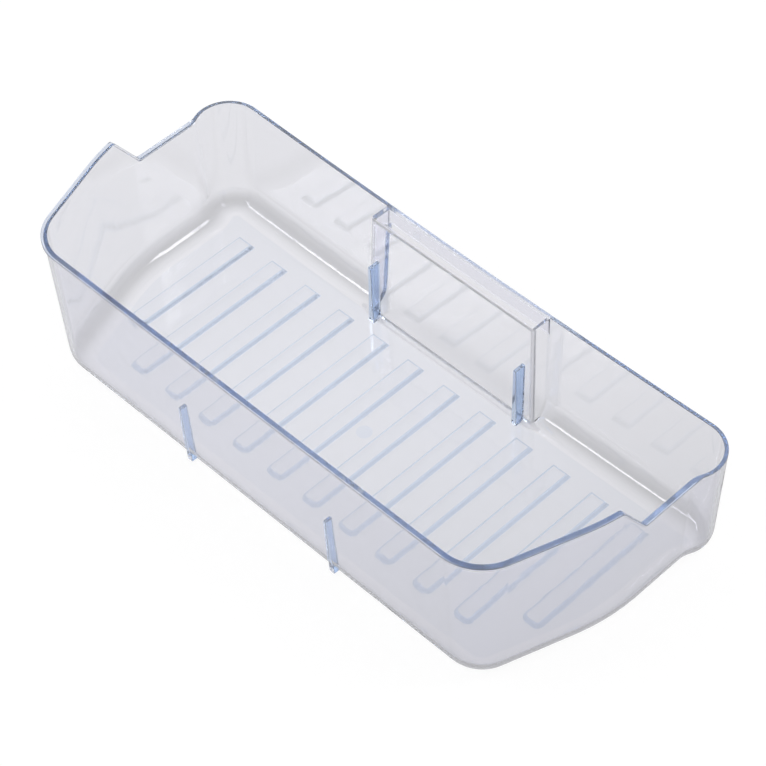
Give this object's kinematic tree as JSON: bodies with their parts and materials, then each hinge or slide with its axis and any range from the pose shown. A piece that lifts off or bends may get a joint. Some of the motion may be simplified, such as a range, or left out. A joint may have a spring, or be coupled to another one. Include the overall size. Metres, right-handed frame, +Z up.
{
  "type": "refrigerator bin",
  "caption": "Clear moulded refrigerator bin whose rim steps down to the rear, with a channel in its back wall, a ribbed floor and upright divider fins.",
  "frame": {"origin": "on the underside, below the middle of the bounding box", "axes": "+X along the bin's length, +Y to the lower back wall that has the channel, +Z up out of the open top"},
  "size_m": [0.3488, 0.1554, 0.0913],
  "materials": {
    "clear_plastic": "clear with a faint blue tint, glossy"
  },
  "bodies": {
    "root": {"moulded_bin": "clear_plastic"}
  },
  "joints": []
}
